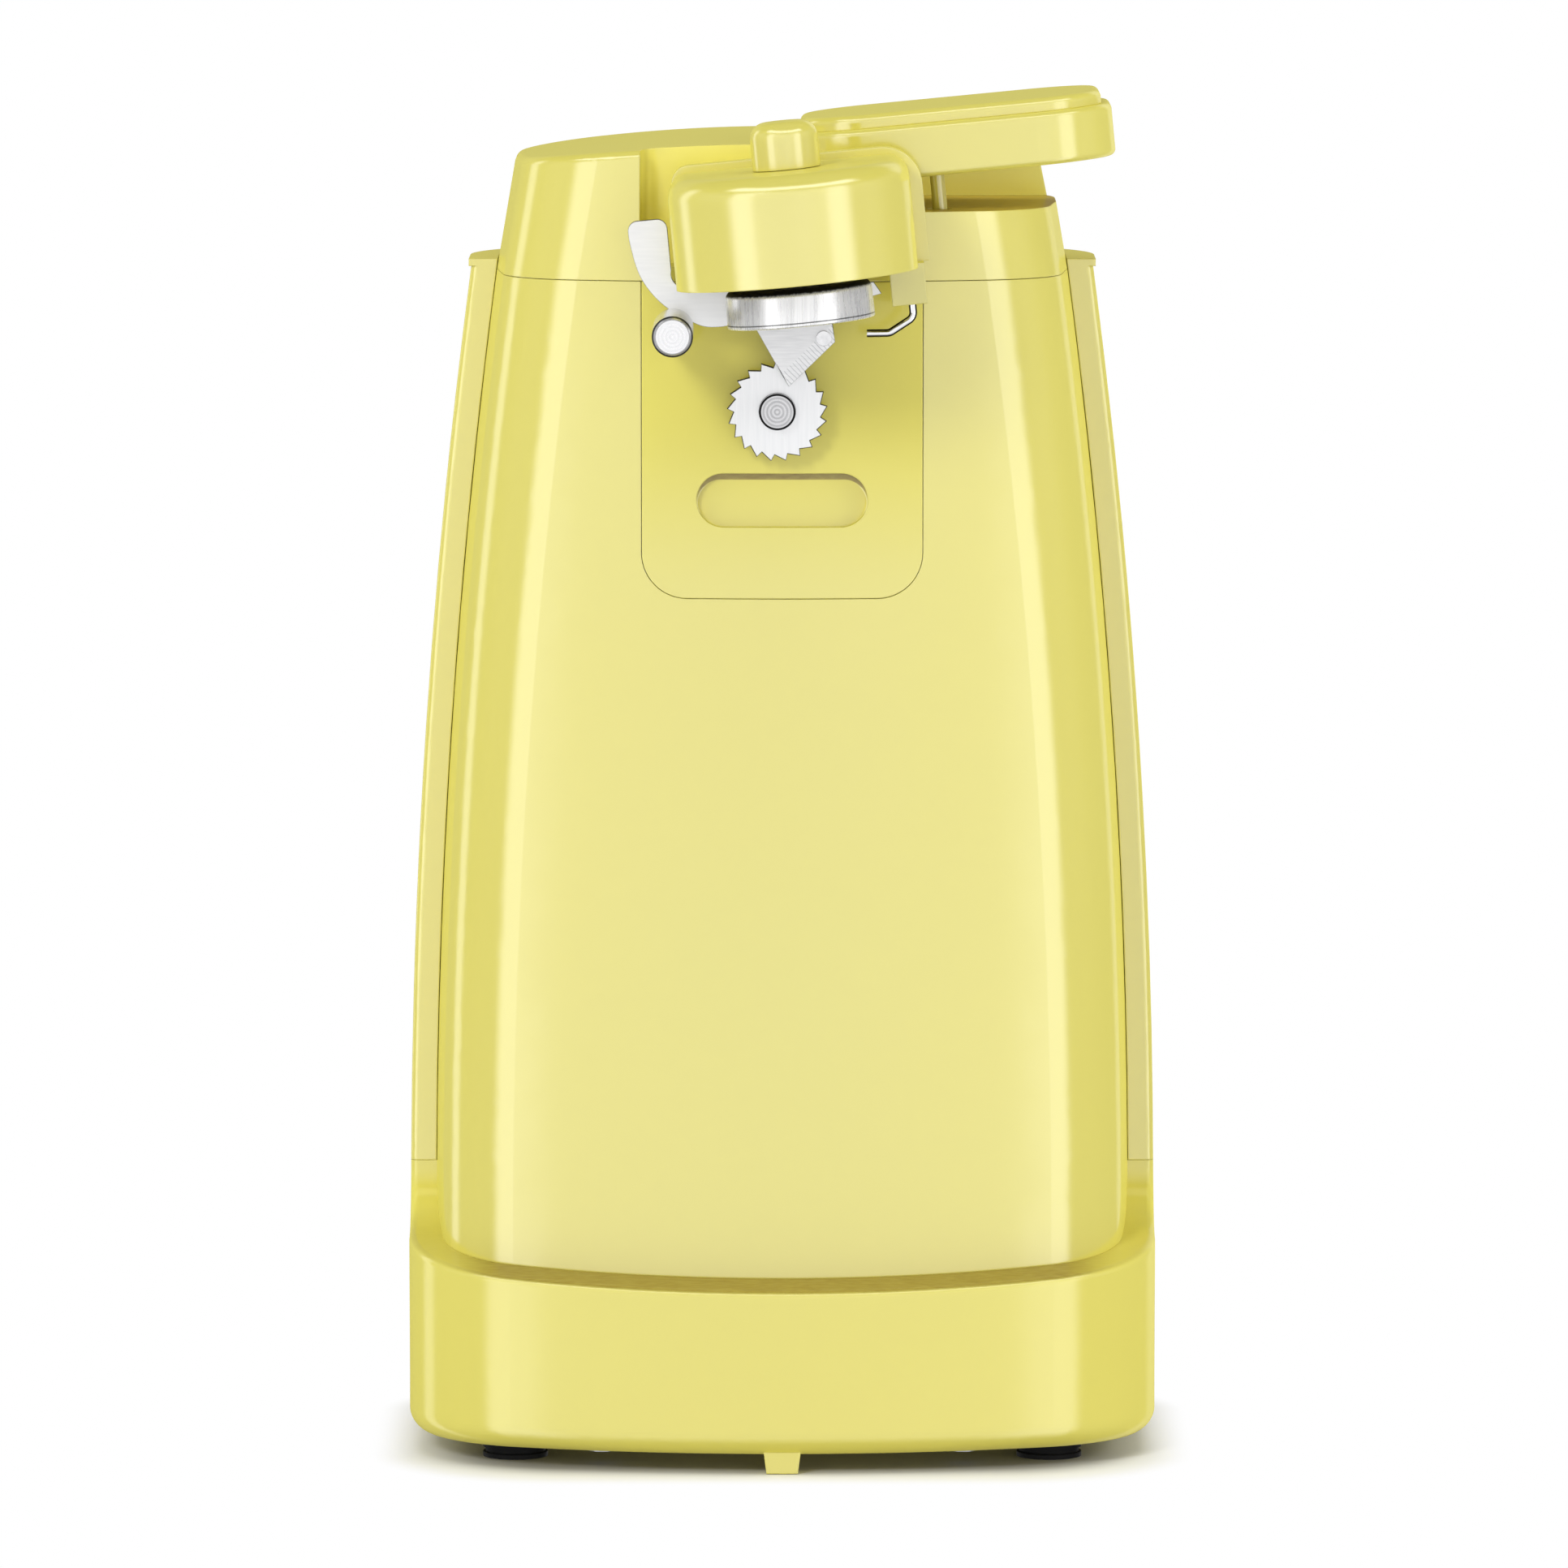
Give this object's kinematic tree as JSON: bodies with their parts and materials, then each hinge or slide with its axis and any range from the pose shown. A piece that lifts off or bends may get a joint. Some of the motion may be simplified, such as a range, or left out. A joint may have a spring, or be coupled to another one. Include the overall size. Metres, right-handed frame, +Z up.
{
  "type": "electric can opener",
  "caption": "Tall countertop electric can opener with a pivoting cutter lever, toothed drive wheel, lid magnet on a sprung stem, gear motor and rubber feet.",
  "frame": {"origin": "centre of the overall box's bottom, on the table", "axes": "+X to the viewer's right, -Y the front with the cutter, +Z up"},
  "size_m": [0.1248, 0.1274, 0.2277],
  "materials": {
    "yellow_plastic": "glossy moulded",
    "black_rubber": "matte",
    "bright_steel": "bright plated",
    "chrome": "polished",
    "ferrite": "dull sintered",
    "zinc_steel": "zinc plated",
    "bronze": "plain",
    "white_nylon": "moulded",
    "lamination": "stamped stack",
    "copper_winding": "enamelled wire",
    "black_resin": "moulded"
  },
  "bodies": {
    "housing": {"base": "yellow_plastic", "bottom_cover": "yellow_plastic", "front_housing": "yellow_plastic", "rear_housing": "yellow_plastic", "top_housing": "yellow_plastic", "front_insert": "yellow_plastic", "feet": "black_rubber", "cover_screws": "zinc_steel", "housing_screws": "zinc_steel", "cord_gland": "black_rubber", "pivot_bush": "bronze", "spindle_bush": "bronze", "spindle_rear_bush": "bronze", "front_plate": "zinc_steel", "rear_plate": "zinc_steel", "plate_posts": "zinc_steel", "plate_screws": "zinc_steel", "gear_axles": "bright_steel", "motor_stator": "lamination", "motor_bobbin": "white_nylon", "motor_coil": "copper_winding", "motor_front_bracket": "zinc_steel", "motor_rear_bracket": "zinc_steel", "motor_bearings": "bronze", "motor_screws": "zinc_steel", "motor_spacers": "zinc_steel", "switch_block": "black_resin", "switch_leaf": "bronze", "switch_contact": "bronze"},
    "lever": {"lever_body": "yellow_plastic", "lever_cap": "yellow_plastic", "magnet_housing": "yellow_plastic", "lever_screws": "zinc_steel", "lever_pivot_pin": "bright_steel", "pivot_clip": "zinc_steel", "cutter_plate": "bright_steel", "guide_post": "bright_steel", "cutter_blade": "bright_steel", "blade_rivets": "bright_steel", "rim_wire": "bright_steel", "magnet_spring": "bright_steel"},
    "magnet": {"magnet_knob": "yellow_plastic", "magnet_stem": "bright_steel", "magnet_cup": "chrome", "magnet_disc": "ferrite"},
    "drive": {"drive_spindle": "bright_steel", "drive_wheel": "bright_steel", "spindle_clip": "zinc_steel", "final_gear": "white_nylon"},
    "second_stage": {"second_gear": "white_nylon"},
    "first_stage": {"first_gear": "white_nylon"},
    "rotor": {"rotor_core": "lamination", "rotor_shaft": "bright_steel", "motor_pinion": "white_nylon"}
  },
  "joints": [
    {"name": "lever_press", "type": "hinge", "parent": "housing", "child": "lever", "pos_m": [-0.012, 0, 0.205], "axis": [0, 1, 0], "range_deg": [-30, 5.5], "deforming": ["switch_leaf"]},
    {"name": "magnet_float", "type": "slide", "parent": "lever", "child": "magnet", "axis": [-0.0958, 0, 0.9954], "range_m": [0, 0.006], "stiffness_N_per_m": 150, "springref_m": -0.004, "deforming": ["magnet_spring"]},
    {"name": "drive_spin", "type": "hinge", "parent": "housing", "child": "drive", "pos_m": [-0.0008, 0, 0.176], "axis": [0, 1, 0], "continuous": true},
    {"name": "second_gear_spin", "type": "hinge", "parent": "housing", "child": "second_stage", "pos_m": [-0.00726, 0, 0.15824], "axis": [0, 1, 0], "continuous": true},
    {"name": "first_gear_spin", "type": "hinge", "parent": "housing", "child": "first_stage", "pos_m": [0.00175, 0, 0.14163], "axis": [0, 1, 0], "continuous": true},
    {"name": "rotor_spin", "type": "hinge", "parent": "housing", "child": "rotor", "pos_m": [0.00011, 0, 0.1228], "axis": [0, 1, 0], "continuous": true}
  ],
  "couplings": [
    {"joint": "second_gear_spin", "follows": "drive_spin", "ratio": -3.5},
    {"joint": "first_gear_spin", "follows": "drive_spin", "ratio": 12.25},
    {"joint": "rotor_spin", "follows": "drive_spin", "ratio": -42.875}
  ]
}
